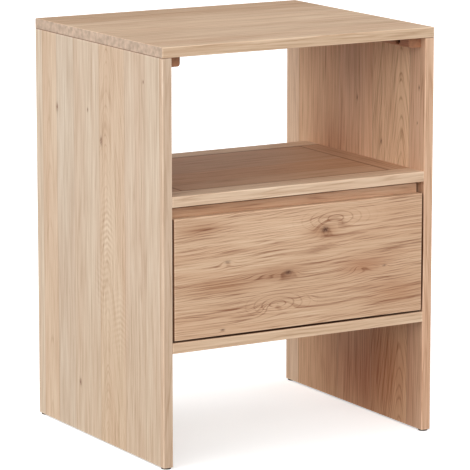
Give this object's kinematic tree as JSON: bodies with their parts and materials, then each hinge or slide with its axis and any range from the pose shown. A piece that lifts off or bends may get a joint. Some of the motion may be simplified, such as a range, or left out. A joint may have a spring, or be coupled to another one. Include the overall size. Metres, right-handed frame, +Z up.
{
  "type": "nightstand with a drawer",
  "caption": "Oiled oak nightstand with slab sides, an open compartment under the top and a full-width drawer below a finger gap, on foot glides.",
  "frame": {"origin": "centre of the cabinet's footprint, on the floor under the glides", "axes": "+Z up, +X to the right seen from the front, +Y to the back; the drawer opens towards -Y"},
  "size_m": [0.45, 0.385, 0.6],
  "materials": {
    "oak_top": "oiled solid oak, glued staves running left to right",
    "oak_side": "oiled solid oak, glued staves running up and down",
    "oak_shelf": "oiled solid oak, grain running left to right",
    "oak_drawer_face": "oiled solid oak, one wide board, grain running left to right",
    "oak_drawer_box": "oiled solid oak, slightly redder inner boards",
    "oak_cleat": "oiled solid oak batten",
    "oak_panel_thin": "oak-veneered board",
    "beech_dowel": "plain beech",
    "bronze_bolt": "dark bronze coated steel",
    "brass_insert": "machined",
    "zinc_screw": "zinc-plated steel",
    "zinc_cam": "die-cast zinc, dull grey",
    "runner_steel": "rolled zinc-plated steel",
    "ball_steel": "polished steel balls",
    "cage_steel": "thin pressed steel",
    "buffer_rubber": "matt black",
    "glide_plastic": "dark grey-brown plastic"
  },
  "bodies": {
    "cabinet": {"top_panel": "oak_top", "left_side_panel": "oak_side", "right_side_panel": "oak_side", "shelf_panel": "oak_shelf", "shelf_front_rail": "oak_shelf", "shelf_rear_rail": "oak_shelf", "shelf_left_rail": "oak_shelf", "shelf_right_rail": "oak_shelf", "bottom_panel": "oak_shelf", "drawer_bay_back": "oak_panel_thin", "left_top_cleat": "oak_cleat", "right_top_cleat": "oak_cleat", "cleat_screws": "zinc_screw", "cleat_bolts": "bronze_bolt", "cleat_bolt_inserts": "brass_insert", "shelf_dowels": "beech_dowel", "shelf_cam_bolts": "zinc_screw", "shelf_cams": "zinc_cam", "bottom_dowels": "beech_dowel", "bottom_cam_bolts": "zinc_screw", "bottom_cams": "zinc_cam", "top_dowels": "beech_dowel", "bay_back_dowels": "beech_dowel", "foot_glides": "glide_plastic", "glide_nails": "zinc_screw", "left_runner_cabinet_member": "runner_steel", "right_runner_cabinet_member": "runner_steel", "runner_cabinet_screws": "zinc_screw", "runner_stop_buffers": "buffer_rubber"},
    "drawer": {"drawer_face": "oak_drawer_face", "drawer_box_front": "oak_drawer_box", "drawer_left_side": "oak_drawer_box", "drawer_right_side": "oak_drawer_box", "drawer_back": "oak_drawer_box", "drawer_bottom": "oak_panel_thin", "drawer_face_screws": "zinc_screw", "drawer_bottom_screws": "zinc_screw", "drawer_dowels": "beech_dowel", "left_runner_drawer_member": "runner_steel", "right_runner_drawer_member": "runner_steel", "runner_drawer_screws": "zinc_screw"},
    "left_runner_middle": {"left_runner_middle_member": "runner_steel"},
    "left_outer_balls_and_cage": {"left_outer_ball_cage": "cage_steel", "left_outer_balls": "ball_steel"},
    "left_inner_balls_and_cage": {"left_inner_ball_cage": "cage_steel", "left_inner_balls": "ball_steel"},
    "right_runner_middle": {"right_runner_middle_member": "runner_steel"},
    "right_outer_balls_and_cage": {"right_outer_ball_cage": "cage_steel", "right_outer_balls": "ball_steel"},
    "right_inner_balls_and_cage": {"right_inner_ball_cage": "cage_steel", "right_inner_balls": "ball_steel"}
  },
  "joints": [
    {"name": "drawer_slide", "type": "slide", "parent": "cabinet", "child": "drawer", "axis": [0, -1, 0], "range_m": [0, 0.25]},
    {"name": "left_runner_middle_slide", "type": "slide", "parent": "cabinet", "child": "left_runner_middle", "axis": [0, -1, 0], "range_m": [0, 0.125]},
    {"name": "left_outer_balls_slide", "type": "slide", "parent": "cabinet", "child": "left_outer_balls_and_cage", "axis": [0, -1, 0], "range_m": [0, 0.0625]},
    {"name": "left_inner_balls_slide", "type": "slide", "parent": "cabinet", "child": "left_inner_balls_and_cage", "axis": [0, -1, 0], "range_m": [0, 0.1875]},
    {"name": "right_runner_middle_slide", "type": "slide", "parent": "cabinet", "child": "right_runner_middle", "axis": [0, -1, 0], "range_m": [0, 0.125]},
    {"name": "right_outer_balls_slide", "type": "slide", "parent": "cabinet", "child": "right_outer_balls_and_cage", "axis": [0, -1, 0], "range_m": [0, 0.0625]},
    {"name": "right_inner_balls_slide", "type": "slide", "parent": "cabinet", "child": "right_inner_balls_and_cage", "axis": [0, -1, 0], "range_m": [0, 0.1875]}
  ],
  "couplings": [
    {"joint": "left_runner_middle_slide", "follows": "drawer_slide", "ratio": 0.5},
    {"joint": "left_outer_balls_slide", "follows": "drawer_slide", "ratio": 0.25},
    {"joint": "left_inner_balls_slide", "follows": "drawer_slide", "ratio": 0.75},
    {"joint": "right_runner_middle_slide", "follows": "drawer_slide", "ratio": 0.5},
    {"joint": "right_outer_balls_slide", "follows": "drawer_slide", "ratio": 0.25},
    {"joint": "right_inner_balls_slide", "follows": "drawer_slide", "ratio": 0.75}
  ]
}
